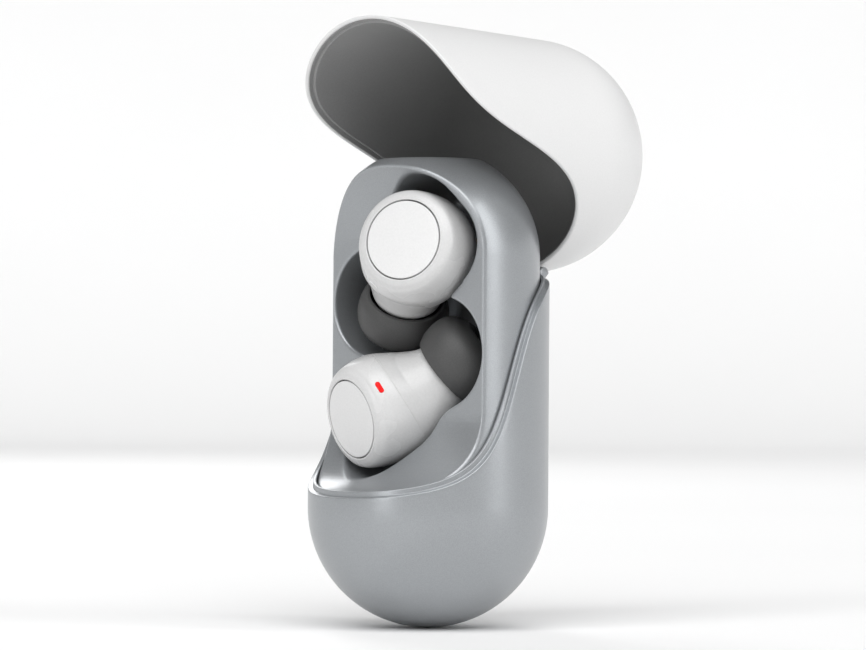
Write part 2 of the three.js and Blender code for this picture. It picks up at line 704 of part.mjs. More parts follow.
const EARBUD_PARTS = [
  ['front_cover', frontCover, FINISH.white],
  ['touch_disk', touchDisk, FINISH.white],
  ['rear_housing', rearHousing, FINISH.white],
  ['ear_tip', earTip, FINISH.silicone],
  ['nozzle_mesh', nozzleMesh, FINISH.steel],
  ['led_lens', () => ledShape(0), FINISH.lightRed],
  ['contact_inner', () => contactShape(-1, 0), FINISH.gold],
  ['contact_outer', () => contactShape(1, 0), FINISH.gold],
  ['control_board', () => disc(BUD_BOARD.radius, BUD_BOARD.low, BUD_BOARD.high), FINISH.board],
  ['cell', () => disc(BUD_CELL.radius, BUD_CELL.low, BUD_CELL.high), FINISH.cell],
  ['speaker', speaker, FINISH.coil],
  ['magnet', budMagnet, FINISH.magnet],
];

function earbudMatrix({ face, inward, tip }) {
  const z = new THREE.Vector3(...inward).normalize();
  const x = new THREE.Vector3(...tip);
  x.addScaledVector(z, -x.dot(z)).normalize();
  const y = new THREE.Vector3().crossVectors(z, x);
  return new THREE.Matrix4().makeBasis(x, y, z).setPosition(...face);
}

// ---- Charging contacts under each earbud -------------------------------------------------------
const POGO = { radius: 0.45, stroke: 1.4, collar: 0.75, gap: 0.3, length: 6.9, tail: 1.2 };
const PIN_BOARD = { width: 8.4, height: 3.4, depth: 0.8 };
const PULL_MAGNET = { radius: 1.5, thickness: 1.4 };

/** Place and direction of a pocket's pin, in the case's frame; its tip just clears the contact. */
function pinAxis(earbud, side) {
  const turn = Math.PI + (side * CONTACT.spacing) / bodyRadius(CONTACT.s);
  const { place } = skinFrame(CONTACT.s, turn, 0);
  const { out } = skinFrame(CONTACT.s, Math.PI, 0);
  const matrix = earbudMatrix(earbud);
  const tip = place.clone().addScaledVector(out, POGO.gap).applyMatrix4(matrix);
  return { tip, out: out.clone().transformDirection(matrix) };
}

/** A turned pin along a direction, its tip at a place. */
function turned({ tip, out }, points, segments = 10) {
  const profile = points.map(([r, h]) => new THREE.Vector2(r, h));
  const geometry = new THREE.LatheGeometry(profile, segments);
  const turnTo = new THREE.Quaternion().setFromUnitVectors(new THREE.Vector3(0, 1, 0), out);
  return solid(geometry.applyQuaternion(turnTo).translate(tip.x, tip.y, tip.z));
}

function pogoPin(axis) {
  const { radius, stroke, collar, length, tail } = POGO;
  const plunger = [[0, 0], [radius, 0.3], [radius, stroke]];
  const solderTail = [[0.35, length], [0.35, length + tail], [0, length + tail]];
  return turned(axis, [...plunger, [collar, stroke], [collar, length], ...solderTail]);
}

/** The small board that carries a pocket's two pins. */
function pinBoard([first, second]) {
  const middle = first.tip.clone().lerp(second.tip, 0.5);
  const across = second.tip.clone().sub(first.tip).normalize();
  const outline = raceTrack(PIN_BOARD.width, PIN_BOARD.height);
  const options = { depth: PIN_BOARD.depth, bevelEnabled: false, curveSegments: 4 };
  const basis = new THREE.Matrix4().makeBasis(across, first.out.clone().cross(across), first.out);
  basis.setPosition(middle.addScaledVector(first.out, POGO.length + POGO.gap));
  const plate = solid(new THREE.ExtrudeGeometry(outline, options).applyMatrix4(basis));
  const last = POGO.length + POGO.gap + PIN_BOARD.depth + 1;
  const holes = [first, second].map((axis) => turned(axis, [[0, 1], [0.65, 1], [0.65, last], [0, last]]));
  return cut(plate, ...holes);
}

/** The magnet behind the pin board, which draws the earbud down onto its pins. */
function retentionMagnet([first, second]) {
  const { radius, thickness } = PULL_MAGNET;
  const from = POGO.length + POGO.gap + PIN_BOARD.depth + 0.3;
  const to = from + thickness;
  const tip = first.tip.clone().lerp(second.tip, 0.5);
  return turned({ tip, out: first.out }, [[0, from], [radius, from], [radius, to], [0, to]], 14);
}

function pogoHole(axis) {
  const hole = POGO.collar + 0.3;
  return turned(axis, [[0, -0.5], [hole, -0.5], [hole, POGO.length + 6], [0, POGO.length + 6]]);
}

// ---- Assembly ----------------------------------------------------------------------------------
const part = new THREE.Group();

function add(parent, name, body, { color, roughness, metalness }) {
  const material = new THREE.MeshStandardMaterial({ color, roughness, metalness });
  const mesh = new THREE.Mesh(geometryOf(body), material);
  mesh.name = name;
  parent.add(mesh);
}

function addBase() {
  const pairs = EARBUDS.map((earbud) => [-1, 1].map((side) => pinAxis(earbud, side)));
  add(part, 'outer_shell', outerShell(), FINISH.silver);
  add(part, 'inner_frame', innerFrame(pairs.flat().map(pogoHole)), FINISH.silver);
  add(part, 'hinge_pin', hingePin(), FINISH.steel);
  add(part, 'case_battery', slab(BATTERY), FINISH.cell);
  add(part, 'battery_pad', slab(PAD), FINISH.foam);
  add(part, 'case_pcb', caseBoard(), FINISH.board);
  const [screwLeft, screwRight] = boardScrews();
  add(part, 'pcb_screw_left', screwLeft, FINISH.steel);
  add(part, 'pcb_screw_right', screwRight, FINISH.steel);
  add(part, 'usb_c_connector', usbConnector(), FINISH.steel);
  add(part, 'charge_controller', onBoard([-2, 4], [2, 8], 0.3, 0.8), FINISH.chip);
  add(part, 'hall_sensor', onBoard([-1, -11.5], [1, -10.3], 0.1, 0.4), FINISH.chip);
  add(part, 'base_magnet', block(...BASE_MAGNET), FINISH.magnet);
  pairs.forEach((pair, i) => {
    const { side } = EARBUDS[i];
    add(part, `pogo_pin_${side}_inner`, pogoPin(pair[0]), FINISH.gold);
    add(part, `pogo_pin_${side}_outer`, pogoPin(pair[1]), FINISH.gold);
    add(part, `pin_board_${side}`, pinBoard(pair), FINISH.board);
    add(part, `retention_magnet_${side}`, retentionMagnet(pair), FINISH.magnet);
  });
}

function addLid() {
  const hinge = new THREE.Group();
  hinge.position.set(0, PIVOT.y, PIVOT.z);
  hinge.rotation.x = -THREE.MathUtils.degToRad(LID_ANGLE);
  const lid = new THREE.Group();
  lid.position.set(0, -PIVOT.y, -PIVOT.z);
  add(lid, 'lid_shell', lidShell(), FINISH.white);
  add(lid, 'lid_liner', lidLiner(), FINISH.lining);
  add(lid, 'lid_magnet', lidMagnetShape(0.1), FINISH.magnet);
  hinge.add(lid);
  part.add(hinge);
}

function addEarbud(earbud) {
  const group = new THREE.Group();
  group.applyMatrix4(earbudMatrix(earbud));
  EARBUD_PARTS.forEach(([name, build, look]) => add(group, `${earbud.side}_${name}`, build(), look));
  part.add(group);
}

addBase();
addLid();
EARBUDS.forEach(addEarbud);

export default part;
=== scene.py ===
"""Looks for the wireless earbuds case: a silver capsule base and frame, a white lid that turns back on
a rear hinge, and two white earbuds with dark silicone tips.

Every fine piece is built in the part's own frame, +Z up, in millimetres, and mesh_from() turns it into
metres. The lid is built shut and then turned open about its pin, as it stands at rest.
"""
import json
import math

import bmesh
import bpy
import numpy as np
from mathutils import Matrix, Vector


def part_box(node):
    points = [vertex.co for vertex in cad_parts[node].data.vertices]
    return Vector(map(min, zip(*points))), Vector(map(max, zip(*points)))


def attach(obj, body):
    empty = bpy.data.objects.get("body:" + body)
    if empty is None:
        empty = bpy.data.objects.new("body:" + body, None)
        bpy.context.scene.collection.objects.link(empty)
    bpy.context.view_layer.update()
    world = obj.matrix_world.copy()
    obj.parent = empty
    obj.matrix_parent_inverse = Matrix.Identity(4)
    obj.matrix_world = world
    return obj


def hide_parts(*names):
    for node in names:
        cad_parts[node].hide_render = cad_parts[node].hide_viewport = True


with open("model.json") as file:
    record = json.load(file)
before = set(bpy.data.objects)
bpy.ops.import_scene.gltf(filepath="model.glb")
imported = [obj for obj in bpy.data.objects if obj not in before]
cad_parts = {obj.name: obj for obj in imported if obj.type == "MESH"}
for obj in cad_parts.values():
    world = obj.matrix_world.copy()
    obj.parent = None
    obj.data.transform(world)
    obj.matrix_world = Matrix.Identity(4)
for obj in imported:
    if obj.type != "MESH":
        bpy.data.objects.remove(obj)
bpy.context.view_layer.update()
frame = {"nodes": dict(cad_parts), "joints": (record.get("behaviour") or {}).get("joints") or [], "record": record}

MM = 0.001


def joint(name):
    return next(j for j in frame["joints"] if j["name"] == name)


def box_mm(node):
    """Lowest and highest corner of a CAD node, in millimetres."""
    low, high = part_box(node)
    return np.array(low) / MM, np.array(high) / MM


# ---- Driving dimensions, millimetres -----------------------------------------------------------
SHELL_LOW, SHELL_HIGH = box_mm("outer_shell")
FRAME_LOW, FRAME_HIGH = box_mm("inner_frame")
CASE_RADIUS = SHELL_HIGH[0]
FRAME_RADIUS = FRAME_HIGH[0]
FRAME_TOP = FRAME_HIGH[2]
FRAME_BOTTOM = FRAME_LOW[2]
PIVOT_Y, PIVOT_Z = (v / MM for v in joint("lid_hinge")["pos_m"][1:])
LID_ANGLE = -joint("lid_hinge")["range_deg"][0]

CASE_WALL = 1.35
LID_WALL = 0.6
LINER_INNER = 17.63
LID_DOME_HEIGHT = 38.9
RIM_MID = 19.1
RIM_SWING = 13.25
RIM_SPREAD = 4.9
RIM_SHIFT = -0.1
RIM_GAP = 0.15
RIM_CORNERS = [0, 0.14, 0.1, 0.1, 0.2, 0]  # from the outside in
LIP_HEIGHT = 0.8
LIP_OUTER = 17.9
LINER_SETBACK = 1.05
LID_EDGE = 0.25
FLANGE = {"inner": 17.98, "outer": 18.13, "edge": 0.35}
NOTCH = {"x": 8, "low": -2, "high": 2.2, "corner": 0.8}  # clears the knuckles, heights from the pivot
EDGE_RUN = 0.8  # how far from its edge a wall's edge section starts
AROUND = 384  # columns round the capsule
EAR_AROUND = 160  # and round an earbud

FRONT_PLANE = -5.1
FLARE = {"y": -18.0, "z": 15.0, "reach": 12.9, "drop": 12.4}
HOOD = {"y": -12.0, "z": 40.0, "rise": 13.3}
WELL = {"x": 7.3, "low": 24.0, "high": 32.0, "radius": 8.6, "floor": 4.0, "depth": 6.0}
POCKET = {"x": 5.1, "low": 13.6, "high": 42.4, "floor": 7.6}
SEAT = {"back": 8.3, "far": 4.5, "middle": 0.5, "half": 9.4, "corner": 7.5}
NECK = {"outer": 7.6, "inner": 9.9}
FORM_EDGE = 0.5  # reach of the rounding along the front face and the pockets
END_EDGE = 0.3  # and along the flat top and the foot
FLOOR_EDGE = 1.2  # and round the pockets' floors
POCKET_BLEND = 0.8  # and where a pocket runs into its well
VOXEL = 0.25

BARREL_RADIUS = 1.1
KNUCKLE_WEB = 3.2
LID_KNUCKLE = 2.9
BASE_KNUCKLE = (3.2, 6.9)
KNUCKLE_ROOT = {"base": 1.8, "lid": 0.45}  # how far in from the case's skin the webs start
KNUCKLE_RELIEF = 0.3
KNUCKLE_BEVEL = 0.3
PORT_Z = 3.85
PORT = {"width": 12.4, "height": 6.4, "floor": 17.6}
PORT_MOUTH = {"width": 9.3, "height": 3.6, "floor": 10.0}

BEND = math.radians(51)
BEND_START = 0.8
BEND_END = 13.8
SPINE_SCALE = 0.945
SPINE_SIDE = {"reach": 1.5, "start": 2.0, "end": 16.0}
FLANK = {"reach": 0.9, "rise": (3.0, 11.0), "fall": (12.2, 17.2)}
SHOULDER = {"reach": 0.9, "turn": -2.4, "rise": (1.5, 5.0), "fall": (8.0, 13.0)}
SEAM = 9.4
SEAM_GAP = 0.002  # on each side of the seam
SEAM_CORNER = 0.006
EAR_WALL = 1.0
DISK_RADIUS = 6.05
GROOVE = 0.22
LENS = {"s": 3.5, "turn": 0.12, "length": 2.0, "width": 0.8, "low": -0.5, "high": 0.05, "bevel": 0.06}
CONTACT = {"s": 12.2, "spread": 2.3, "radius": 0.8, "low": -0.35, "high": 0.03, "bevel": 0.06}
EARBUDS = {
    "left": {
        "face": (-6.03, -11.07, 13.6),
        "inward": (0.2177, 0.9526, 0.2131),
        "tip": (0.658, 0.441, 0.608),
    },
    "right": {
        "face": (4.95, -11.07, 41.3),
        "inward": (-0.3076, 0.9374, -0.151),
        "tip": (-0.5507, 0.337, -0.755),
    },
}


# ---- Meshes ------------------------------------------------------------------------------------
def mesh_from(name, verts, faces, weld=1e-4):
    """A mesh from points in millimetres, with its poles welded and faces pointing out."""
    mesh = bpy.data.meshes.new(name)
    mesh.from_pydata((np.asarray(verts, float) * MM).tolist(), [], np.asarray(faces).tolist())
    bm = bmesh.new()
    bm.from_mesh(mesh)
    if weld:
        bmesh.ops.remove_doubles(bm, verts=bm.verts, dist=weld * MM)
    bmesh.ops.recalc_face_normals(bm, faces=bm.faces)
    bm.to_mesh(mesh)
    bm.free()
    return mesh


def shade(mesh, angle=35):
    """Smooth shading that breaks at edges sharper than an angle in degrees."""
    mesh.polygons.foreach_set("use_smooth", [True] * len(mesh.polygons))
    mesh.set_sharp_from_angle(angle=math.radians(angle))


def place(name, mesh, material, body, replaced=(), angle=35):
    """Links a finished mesh as a piece that rides on a body and stands for CAD nodes."""
    shade(mesh, angle)
    mesh.materials.clear()
    mesh.materials.append(material)
    obj = bpy.data.objects.new(name, mesh)
    bpy.context.scene.collection.objects.link(obj)
    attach(obj, body)
    if replaced:
        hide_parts(*replaced)
    return obj


def grid_faces(rows, columns, ring=False):
    """Quads between rows of points that run right round; ring also joins the last row to the first."""
    r = np.arange(rows if ring else rows - 1)[:, None]
    c = np.arange(columns)[None, :]
    below, above = r * columns, ((r + 1) % rows) * columns
    right = (c + 1) % columns
    return np.stack([below + c, below + right, above + right, above + c], -1).reshape(-1, 4)


def skin(name, rows, ring=False):
    rows = np.asarray(rows)
    return mesh_from(name, rows.reshape(-1, 3), grid_faces(len(rows), rows.shape[1], ring))


def unit(v):
    v = np.asarray(v, float)
    return v / np.linalg.norm(v)


def rounded(points, radii, steps=6, closed=False):
    """A 2-D outline with each corner turned into an arc of its own radius, 0 for a sharp one."""
    points = [np.asarray(p, float) for p in points]
    out = []
    for i, (p, radius) in enumerate(zip(points, radii)):
        if radius == 0 or (not closed and i in (0, len(points) - 1)):
            out.append(p)
            continue
        a = unit(points[i - 1] - p)
        b = unit(points[(i + 1) % len(points)] - p)
        half = math.acos(float(np.clip(a @ b, -1, 1))) / 2
        centre = p + unit(a + b) * radius / math.sin(half)
        start = p + a * radius / math.tan(half) - centre
        end = p + b * radius / math.tan(half) - centre
        sweep = math.pi - 2 * half
        for t in np.linspace(0, 1, steps + 1):
            blend = math.sin((1 - t) * sweep) * start + math.sin(t * sweep) * end
            out.append(centre + blend / math.sin(sweep))
    return np.array(out)


def smooth_curve(points, steps=6):
    """A Catmull-Rom curve through points."""
    p = np.asarray(points, float)
    p = np.vstack([2 * p[0] - p[1], p, 2 * p[-1] - p[-2]])
    out = []
    for i in range(1, len(p) - 2):
        for t in np.arange(steps) / steps:
            out.append(
                0.5 * (2 * p[i] + (p[i + 1] - p[i - 1]) * t
                       + (2 * p[i - 1] - 5 * p[i] + 4 * p[i + 1] - p[i + 2]) * t ** 2
                       + (3 * p[i] - p[i - 1] - 3 * p[i + 1] + p[i + 2]) * t ** 3)
            )
    out.append(p[-2])
    return np.array(out)


def prism(name, outline, low, high, axis, bevel=0.12):
    """A 2-D outline extruded along an axis between two places, with its end edges rounded."""
    outline = np.asarray(outline, float)
    count = len(outline)
    ends = [np.insert(outline, "xyz".index(axis), at, axis=1) for at in (low, high)]
    verts = np.vstack(ends)
    sides = [[i, (i + 1) % count, count + (i + 1) % count, count + i] for i in range(count)]
    mesh = bpy.data.meshes.new(name)
    mesh.from_pydata((verts * MM).tolist(), [], [list(range(count)), list(range(count, 2 * count)), *sides])
    bm = bmesh.new()
    bm.from_mesh(mesh)
    bmesh.ops.recalc_face_normals(bm, faces=bm.faces)
    if bevel:
        caps = sorted(bm.faces, key=lambda f: -len(f.verts))[:2]
        edges = list({e for cap in caps for e in cap.edges})
        bmesh.ops.bevel(bm, geom=edges, offset=bevel * MM, segments=3, profile=0.5, affect="EDGES")
    bm.to_mesh(mesh)
    bm.free()
    return mesh


def circle(radius, centre, count=48, start=0.0, sweep=2 * math.pi):
    turn = start + np.arange(count) * sweep / count
    return np.stack([centre[0] + radius * np.cos(turn), centre[1] + radius * np.sin(turn)], 1)


def race_track(width, height, centre_v, steps=16):
    radius = height / 2
    straight = width / 2 - radius
    turn = np.linspace(-math.pi / 2, math.pi / 2, steps + 1)
    right = np.stack([straight + radius * np.cos(turn), centre_v + radius * np.sin(turn)], 1)
    left = np.stack([-straight - radius * np.cos(turn), centre_v - radius * np.sin(turn)], 1)
    return np.vstack([right, left])


def cut(mesh, tool):
    """The first mesh with another cut from it."""
    objs = [bpy.data.objects.new("cut", m) for m in (mesh, tool)]
    for obj in objs:
        bpy.context.scene.collection.objects.link(obj)
    modifier = objs[0].modifiers.new("cut", "BOOLEAN")
    modifier.operation = "DIFFERENCE"
    modifier.solver = "EXACT"
    modifier.object = objs[1]
    bpy.context.view_layer.update()
    graph = bpy.context.evaluated_depsgraph_get()
    result = bpy.data.meshes.new_from_object(objs[0].evaluated_get(graph))
    for obj in objs:
        bpy.data.objects.remove(obj)
    return result


def joined(name, meshes):
    """Several closed meshes in one."""
    bm = bmesh.new()
    for mesh in meshes:
        bm.from_mesh(mesh)
    whole = bpy.data.meshes.new(name)
    bm.to_mesh(whole)
    bm.free()
    return whole


def opened(mesh):
    """Turns a mesh built for the shut lid to where the lid stands at rest."""
    pivot = Matrix.Translation(Vector((0, PIVOT_Y, PIVOT_Z)) * MM)
    mesh.transform(pivot @ Matrix.Rotation(-math.radians(LID_ANGLE), 4, "X") @ pivot.inverted())
    return mesh


# ---- The rim curve -----------------------------------------------------------------------------
def rim_height(y):
    return RIM_MID + RIM_SWING * np.arctan((y - RIM_SHIFT) / RIM_SPREAD)


def rim_slope(y):
    return RIM_SWING / RIM_SPREAD / (1 + ((y - RIM_SHIFT) / RIM_SPREAD) ** 2)


def rim_offset(y, offset):
    """Height, at y, of the rim curve moved along its own normal."""
    foot = y.copy()
    for _ in range(12):
        slope = rim_slope(foot)
        foot = y + offset * slope / np.hypot(1, slope)
    return rim_height(foot) + offset / np.hypot(1, rim_slope(foot))


TURN = np.arange(AROUND) * 2 * math.pi / AROUND


def ring_row(radius, z):
    return np.stack([radius * np.cos(TURN), radius * np.sin(TURN), np.full(AROUND, z)], 1)


def rim_row(radius, offset):
    y = radius * np.sin(TURN)
    return np.stack([radius * np.cos(TURN), y, rim_offset(y, offset)], 1)


def dome_rows(radius, z, start, end, steps=28):
    """Rings of a dome between two angles above its equator, in degrees."""
    angles = np.radians(np.linspace(start, end, steps + 1))
    return [ring_row(max(radius * math.cos(a), 0.0), z + radius * math.sin(a)) for a in angles]


def between(first, last, steps):
    """Rows between two rows, without the two themselves."""
    return [first + (last - first) * t for t in np.linspace(0, 1, steps + 1)[1:-1]]


# ---- Base --------------------------------------------------------------------------------------
def knuckle(name, direction, root, low, high):
    """A hinge barrel with a web that runs into the wall, below the pin for -1 and above it for 1."""
    sweep = -direction * math.pi
    barrel = circle(BARREL_RADIUS, (PIVOT_Y, PIVOT_Z), 24, 0.0, sweep * 24 / 23)
    foot = [(root, PIVOT_Z + direction * KNUCKLE_WEB)]
    return prism(name, np.vstack([foot, barrel]), low, high, "x", KNUCKLE_BEVEL)


def relief(half_length):
    """Room for the other half's knuckle, out to a half length on each side."""
    reach = half_length + KNUCKLE_RELIEF
    outline = circle(BARREL_RADIUS + KNUCKLE_RELIEF, (PIVOT_Y, PIVOT_Z))
    return prism("relief", outline, -reach, reach, "x", 0)


def base_shell():
    inner = CASE_RADIUS - CASE_WALL
    section = rounded(
        [(CASE_RADIUS, -EDGE_RUN), (CASE_RADIUS, 0), (LIP_OUTER, 0), (LIP_OUTER, LIP_HEIGHT),
         (inner, LIP_HEIGHT), (inner, -EDGE_RUN)],
        RIM_CORNERS,
    )
    rim = [rim_row(r, offset) for r, offset in section]
    outside = dome_rows(CASE_RADIUS, 0, -90, 0)
    inside = dome_rows(inner, 0, 0, -90, 12)
    rows = [*outside, *between(outside[-1], rim[0], 30), *rim, *between(rim[-1], inside[0], 12), *inside]
    shell = cut(skin("outer_shell", rows), relief(LID_KNUCKLE))
    for opening in (PORT, PORT_MOUTH):
        track = race_track(opening["width"], opening["height"], PORT_Z)
        shell = cut(shell, prism("port", track, opening["floor"], CASE_RADIUS + 2, "y", 0))
    near, far = BASE_KNUCKLE
    root = CASE_RADIUS - KNUCKLE_ROOT["base"]
    knuckles = [knuckle("knuckle", -1, root, near, far), knuckle("knuckle", -1, root, -far, -near)]
    return joined("outer_shell", [shell, *knuckles])


# ---- Lid, built shut ---------------------------------------------------------------------------
def lid_skin(name, outer, inner, section):
    """A domed skin between two radii that ends along the rim curve in a section of radii and offsets."""
    rim = [rim_row(r, offset) for r, offset in section]
    outside = dome_rows(outer, LID_DOME_HEIGHT, 0, 90)
    inside = dome_rows(inner, LID_DOME_HEIGHT, 90, 0)
    rows = [*inside, *between(inside[-1], rim[0], 24), *rim, *between(rim[-1], outside[0], 24), *outside]
    return skin(name, rows)


def lid_shell():
    inner, start = CASE_RADIUS - LID_WALL, RIM_GAP + EDGE_RUN
    edge = rounded(
        [(inner, start), (inner, RIM_GAP), (CASE_RADIUS, RIM_GAP), (CASE_RADIUS, start)],
        [0, LID_EDGE, LID_EDGE, 0],
    )
    shell = lid_skin("lid_shell", CASE_RADIUS, inner, edge)
    shell = cut(shell, relief(BASE_KNUCKLE[1]))
    root = CASE_RADIUS - KNUCKLE_ROOT["lid"]
    barrel = knuckle("knuckle", 1, root, -LID_KNUCKLE, LID_KNUCKLE)
    return opened(joined("lid_shell", [shell, barrel]))


def lid_liner():
    """The dark liner, with a thin flange that runs on to just inside the lid's edge."""
    low, mid, start = FLANGE["edge"], LINER_SETBACK, LINER_SETBACK + EDGE_RUN
    outer, flange = FLANGE["outer"], FLANGE["inner"]
    edge = rounded(
        [(LINER_INNER, start), (LINER_INNER, mid), (flange, mid),
         (flange, low), (outer, low), (outer, start)],
        [0, 0.15, 0.08, 0.04, 0.04, 0],
    )
    liner = lid_skin("lid_liner", outer, LINER_INNER, edge)
    side, bottom, top = NOTCH["x"], PIVOT_Z + NOTCH["low"], PIVOT_Z + NOTCH["high"]
    corners = [(-side, bottom), (side, bottom), (side, top), (-side, top)]
    notch = rounded(corners, [NOTCH["corner"]] * 4, 6, True)
    return opened(cut(liner, prism("notch", notch, LINER_INNER - 1.2, CASE_RADIUS, "y", 0)))


# ---- Inner frame: a signed distance, meshed and then drawn onto its zero level -----------------
def smooth_max(a, b, reach):
    """The larger of two distances, with the edge between them rounded."""
    h = np.maximum(reach - np.abs(a - b), 0) / reach
    return np.maximum(a, b) + h * h * reach / 4


def smooth_min(a, b, reach):
    return -smooth_max(-a, -b, reach)


def face_curve():
    """The frame's front face seen along X, from its foot to its hood, as points in y and z."""
    turn = np.radians(np.linspace(0, 90, 25))
    flare_y = FLARE["y"] + FLARE["reach"] * np.sin(turn)
    flare = np.stack([flare_y, FLARE["z"] - FLARE["drop"] * np.cos(turn)], 1)
    hood_y = HOOD["y"] + (FRONT_PLANE - HOOD["y"]) * np.cos(turn)
    hood = np.stack([hood_y, HOOD["z"] + HOOD["rise"] * np.sin(turn)], 1)
    far = -2 * CASE_RADIUS
    return np.vstack([[far, flare[0][1]], flare, hood, [far, hood[-1][1]]])


def front_distance(y, z):
    """Distance to the front face in the y-z plane, positive in the open space in front of it."""
    curve = face_curve()
    best = np.full(y.shape, 1e9)
    for a, b in zip(curve[:-1], curve[1:]):
        run = b - a
        along = np.clip(((y - a[0]) * run[0] + (z - a[1]) * run[1]) / (run @ run), 0, 1)
        best = np.minimum(best, np.hypot(y - a[0] - along * run[0], z - a[1] - along * run[1]))
    hood_y = HOOD["y"] + (FRONT_PLANE - HOOD["y"]) * np.sqrt(
        np.clip(1 - ((z - HOOD["z"]) / HOOD["rise"]) ** 2, 0, 1))
    flare_y = FLARE["y"] + FLARE["reach"] * np.sqrt(
        np.clip(1 - ((FLARE["z"] - z) / FLARE["drop"]) ** 2, 0, 1))
    face_y = np.where(z > HOOD["z"], hood_y, np.where(z < FLARE["z"], flare_y, FRONT_PLANE))
    open_band = (z > FLARE["z"] - FLARE["drop"]) & (z < HOOD["z"] + HOOD["rise"])
    return np.where((y < face_y) & open_band, best, -best)


def pocket_distance(x, y, z, index):
    """Distance to one earbud's pocket: a round seat, a domed well and the neck between them."""
    flip = -1 if index == 0 else 1
    level = "low" if index == 0 else "high"
    seat = np.array([flip * POCKET["x"], POCKET[level]])
    hole = np.array([-flip * WELL["x"], WELL[level]])
    along = unit(hole - seat)
    across = np.array([-along[1], along[0]])
    u = (x - seat[0]) * along[0] + (z - seat[1]) * along[1]
    v = (x - seat[0]) * across[0] + (z - seat[1]) * across[1]
    floor = y - POCKET["floor"]
    corner = SEAT["corner"]
    past_u = -u - SEAT["back"] + corner
    past_v = np.abs(v - SEAT["middle"]) - SEAT["half"] + corner
    box = np.hypot(np.maximum(past_u, 0), np.maximum(past_v, 0)) + np.minimum(np.maximum(past_u, past_v), 0)
    box = np.maximum(box - corner, u - SEAT["far"])
    round_end = np.hypot(u - SEAT["far"], v - SEAT["middle"]) - SEAT["half"]
    body = smooth_max(np.minimum(box, round_end), floor, FLOOR_EDGE)
    r = np.hypot(x - hole[0], z - hole[1])
    q = np.maximum(y - WELL["floor"], 0)
    k0 = np.hypot(r / WELL["radius"], q / WELL["depth"])
    k1 = np.hypot(r / WELL["radius"] ** 2, q / WELL["depth"] ** 2)
    well = k0 * (k0 - 1) / np.maximum(k1, 1e-6)
    length = np.linalg.norm(hole - seat)
    neck = np.maximum.reduce([-u, u - length, v - NECK["inner"], -v - NECK["outer"]])
    neck = smooth_max(neck, floor, FLOOR_EDGE)
    return smooth_min(smooth_min(body, well, POCKET_BLEND), neck, POCKET_BLEND)


def form_distance(x, y, z):
    """Distance to the frame's domed form, with its flat top and its front face."""
    rise = np.maximum(z - LID_DOME_HEIGHT, 0)
    round_part = np.sqrt(x * x + y * y + rise * rise) - FRAME_RADIUS
    body = smooth_max(round_part, z - FRAME_TOP, END_EDGE)
    return smooth_max(body, front_distance(y, z), FORM_EDGE)


def frame_distance(x, y, z):
    outer = form_distance(x, y, z)
    for index in (0, 1):
        outer = smooth_max(outer, -pocket_distance(x, y, z, index), FORM_EDGE)
    return smooth_max(outer, FRAME_BOTTOM - z, END_EDGE)


def surface_nets(values):
    """Points, in grid steps, and quads where a grid of distances changes sign."""
    inside = values < 0
    cells = tuple(n - 1 for n in values.shape)
    total = np.zeros(cells + (3,))
    hits = np.zeros(cells)
    corners = [(i, j, k) for i in (0, 1) for j in (0, 1) for k in (0, 1)]

    def part(array, corner):
        return array[tuple(slice(c, c + n) for c, n in zip(corner, cells))]

    for first in corners:
        for axis in range(3):
            if first[axis]:
                continue
            second = tuple(c + (a == axis) for a, c in enumerate(first))
            a, b = part(values, first), part(values, second)
            crossing = part(inside, first) != part(inside, second)
            t = np.where(crossing, a / np.where(crossing, a - b, 1), 0)
            for k in range(3):
                total[..., k] += crossing * (first[k] + (t if k == axis else 0))
            hits += crossing
    active = hits > 0
    number = np.full(cells, -1)
    number[active] = np.arange(active.sum())
    points = np.argwhere(active) + total[active] / hits[active][:, None]
    quads = []
    for axis in range(3):
        u, v = [k for k in range(3) if k != axis]
        low = tuple(slice(1, -1) if k != axis else slice(0, -1) for k in range(3))
        high = tuple(slice(1, -1) if k != axis else slice(1, None) for k in range(3))
        at = np.argwhere(inside[low] != inside[high])
        at[:, u] += 1
        at[:, v] += 1
        loop = []
        for du, dv in ((0, 0), (1, 0), (1, 1), (0, 1)):
            cell = at.copy()
            cell[:, u] -= du
            cell[:, v] -= dv
            loop.append(number[tuple(cell.T)])
        quads.append(np.stack(loop, 1))
    return points, np.vstack(quads)


def drawn_onto(distance, points, rounds=4):
    """Moves points along a distance's slope until they lie on its zero level."""
    step = 0.01
    for _ in range(rounds):
        value = distance(*points.T)
        slope = np.stack([distance(*(points + step * axis).T) - value for axis in np.eye(3)], 1) / step
        size = np.maximum((slope ** 2).sum(1), 0.25)
        points = points - np.clip(value / size, -0.3, 0.3)[:, None] * slope
    return points


def inner_frame():
    margin = 3 * VOXEL
    low = FRAME_LOW - margin
    counts = np.ceil((FRAME_HIGH + margin - low) / VOXEL).astype(int) + 1
    axes = [low[k] + VOXEL * np.arange(counts[k]) for k in range(3)]
    points, quads = surface_nets(frame_distance(*np.meshgrid(*axes, indexing="ij")))
    points = drawn_onto(frame_distance, low + points * VOXEL)
    return mesh_from("inner_frame", points, quads, weld=0)


# ---- Earbuds -----------------------------------------------------------------------------------
SPINE_STEP = 0.02
SPINE_S = np.arange(-2, 28, SPINE_STEP)


def eased(value, start, end):
    """0 before start and 1 past end, with a smooth rise between."""
    t = np.clip((value - start) / (end - start), 0, 1)
    return t * t * (3 - 2 * t)


